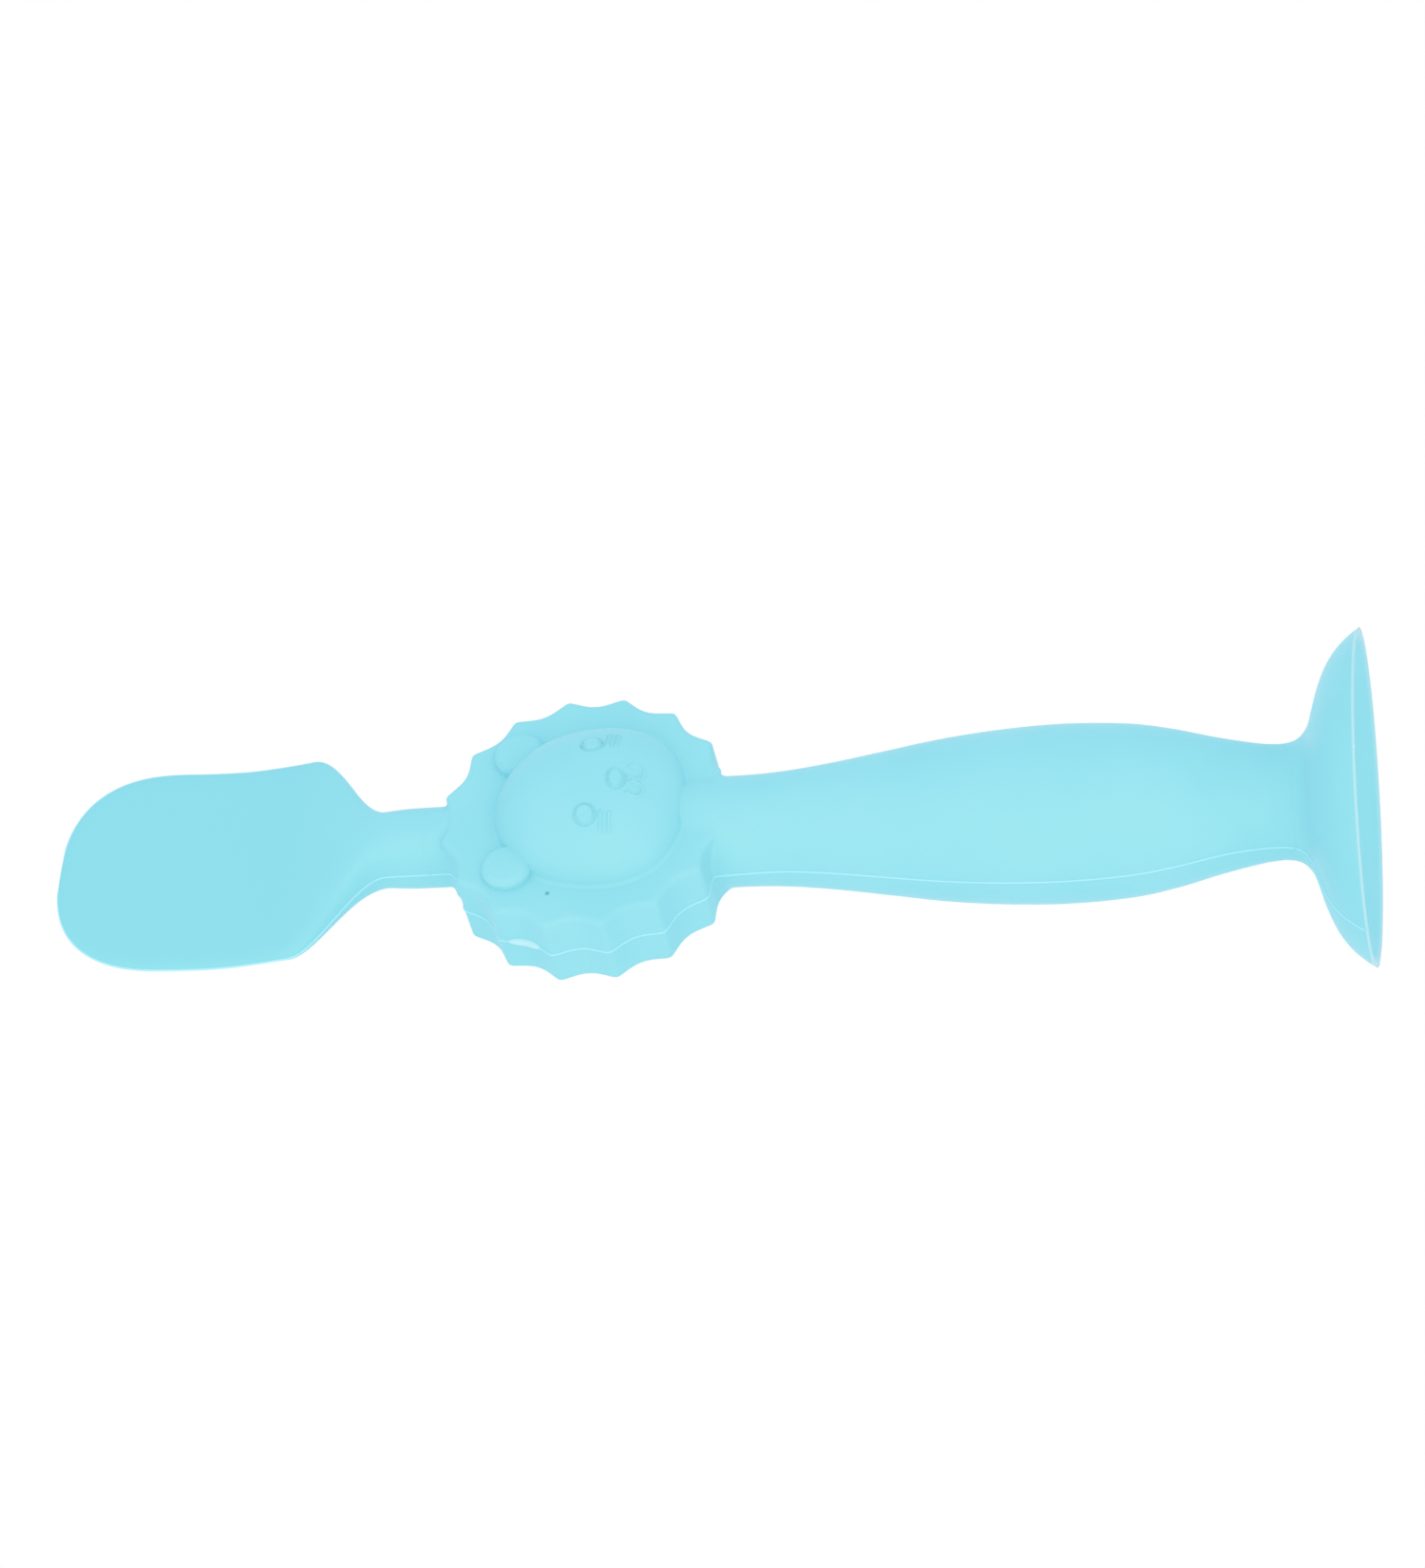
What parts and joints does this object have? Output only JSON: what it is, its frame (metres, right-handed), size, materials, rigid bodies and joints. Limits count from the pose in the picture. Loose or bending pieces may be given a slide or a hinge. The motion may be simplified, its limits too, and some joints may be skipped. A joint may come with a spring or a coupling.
{
  "type": "suction-base cream applicator",
  "caption": "Soft silicone nappy-cream applicator: thin paddle blade, scalloped lion-face head, barrel grip and a suction cup to stand on.",
  "frame": {"origin": "centre of the suction rim, in the plane that touches the table", "axes": "+Z along the handle from the suction cup to the blade, face towards -Y, blade width along X"},
  "size_m": [0.0422, 0.0422, 0.1683],
  "materials": {
    "silicone_cup": "soft matte silicone, slightly translucent at the thin rim",
    "silicone_handle": "soft matte silicone",
    "silicone_blade": "soft matte silicone",
    "core_nylon": "plain moulded"
  },
  "bodies": {
    "cup_rim": {"suction_skirt": "silicone_cup"},
    "cup_crown": {"suction_crown": "silicone_cup"},
    "handle": {"grip": "silicone_handle", "lion_head": "silicone_handle", "stiffener_core": "core_nylon"},
    "blade": {"spreading_blade": "silicone_blade"}
  },
  "joints": [
    {"name": "cup_press", "type": "slide", "parent": "cup_rim", "child": "cup_crown", "axis": [0, 0, -1], "range_m": [0, 0.003], "stiffness_N_per_m": 1500, "deforming": ["suction_skirt"]},
    {"name": "handle_rock", "type": "hinge", "parent": "cup_crown", "child": "handle", "pos_m": [0, 0, 0.0113], "axis": [1, 0, 0], "range_deg": [-12, 12], "stiffness_Nm_per_rad": 0.6},
    {"name": "blade_flex", "type": "hinge", "parent": "handle", "child": "blade", "pos_m": [0, 0.00034, 0.132], "axis": [1, 0, 0], "range_deg": [-45, 45], "stiffness_Nm_per_rad": 0.04}
  ]
}
